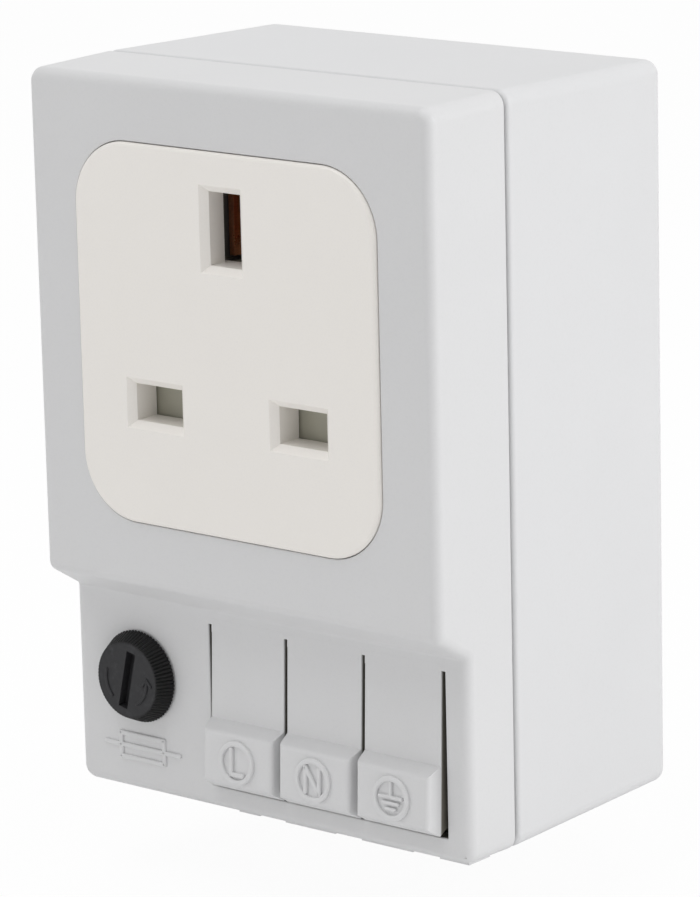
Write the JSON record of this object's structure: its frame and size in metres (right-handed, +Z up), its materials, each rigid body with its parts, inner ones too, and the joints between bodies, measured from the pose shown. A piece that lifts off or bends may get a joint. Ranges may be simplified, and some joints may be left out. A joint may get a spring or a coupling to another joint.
{
  "type": "din rail socket",
  "caption": "Grey box-shaped mains socket that clips onto a rail, with a square insert with shuttered pin slots, a screw-type fuse cap and sprung buttons over its wire clamps.",
  "frame": {"origin": "middle of the seat on the rail, in the plane of the housing's back wall", "axes": "+Z up, +X to the right as seen from the front, +Y towards the rail"},
  "size_m": [0.0616, 0.0506, 0.0914],
  "materials": {
    "housing_grey": "satin moulded plastic with a fine texture",
    "insert_white": "smooth warm white plastic",
    "inner_plastic": "plain heat-resistant plastic",
    "shutter_grey": "plain greenish grey plastic",
    "holder_black": "plain black plastic",
    "cap_black": "satin black plastic",
    "latch_grey": "plain dark grey plastic",
    "contact_brass": "stamped brass strip",
    "earth_copper": "stamped copper alloy strip",
    "spring_steel": "drawn wire and strip",
    "screw_steel": "zinc-plated",
    "end_cap_nickel": "nickel-plated",
    "fuse_glass": "clear",
    "fuse_wire": "tinned wire"
  },
  "bodies": {
    "housing": {"front_cover": "housing_grey", "rear_housing": "housing_grey", "housing_screws": "screw_steel", "socket_plate": "insert_white", "socket_body": "inner_plastic", "socket_screws": "screw_steel", "shutter_spring": "spring_steel", "live_contact": "contact_brass", "neutral_contact": "contact_brass", "earth_contact": "earth_copper", "live_clamp_spring": "spring_steel", "neutral_clamp_spring": "spring_steel", "earth_clamp_spring": "spring_steel", "terminal_block": "inner_plastic", "live_supply_bar": "contact_brass", "neutral_bar": "contact_brass", "earth_bar": "contact_brass", "fused_live_bar": "contact_brass", "fuse_holder": "holder_black", "fuse_side_contact": "contact_brass", "fuse_end_contact": "contact_brass", "latch_spring": "spring_steel"},
    "live_button": {"live_button": "housing_grey"},
    "neutral_button": {"neutral_button": "housing_grey"},
    "earth_button": {"earth_button": "housing_grey"},
    "pin_shutter": {"pin_shutter": "shutter_grey"},
    "rail_latch": {"rail_latch": "latch_grey"},
    "fuse_cartridge": {"fuse_glass": "fuse_glass", "fuse_end_caps": "end_cap_nickel", "fuse_element": "fuse_wire"},
    "fuse_cap": {"fuse_cap": "cap_black", "fuse_cap_clip": "end_cap_nickel"}
  },
  "joints": [
    {"name": "live_button_press", "type": "hinge", "parent": "housing", "child": "live_button", "pos_m": [-0.00275, -0.03925, -0.02175], "axis": [1, 0, 0], "range_deg": [0, 6], "stiffness_Nm_per_rad": 0.5, "springref_deg": -2.01, "deforming": ["live_clamp_spring"]},
    {"name": "neutral_button_press", "type": "hinge", "parent": "housing", "child": "neutral_button", "pos_m": [0.00915, -0.03925, -0.02175], "axis": [1, 0, 0], "range_deg": [0, 6], "stiffness_Nm_per_rad": 0.5, "springref_deg": -2.01, "deforming": ["neutral_clamp_spring"]},
    {"name": "earth_button_press", "type": "hinge", "parent": "housing", "child": "earth_button", "pos_m": [0.02105, -0.03925, -0.02175], "axis": [1, 0, 0], "range_deg": [0, 6], "stiffness_Nm_per_rad": 0.5, "springref_deg": -2.01, "deforming": ["earth_clamp_spring"]},
    {"name": "pin_shutter_slide", "type": "slide", "parent": "housing", "child": "pin_shutter", "axis": [0, 0, -1], "range_m": [0, 0.0056], "stiffness_N_per_m": 150, "springref_m": -0.002, "deforming": ["shutter_spring"]},
    {"name": "rail_latch_slide", "type": "slide", "parent": "housing", "child": "rail_latch", "axis": [0, 0, -1], "range_m": [0, 0.0032], "stiffness_N_per_m": 600, "springref_m": -0.002, "deforming": ["latch_spring"]},
    {"name": "fuse_withdraw", "type": "slide", "parent": "housing", "child": "fuse_cartridge", "axis": [0, -1, 0], "range_m": [0, 0.03]},
    {"name": "fuse_cap_turn", "type": "hinge", "parent": "fuse_cartridge", "child": "fuse_cap", "pos_m": [-0.02027, -0.03975, -0.03015], "axis": [0, -1, 0], "range_deg": [0, 90]}
  ]
}
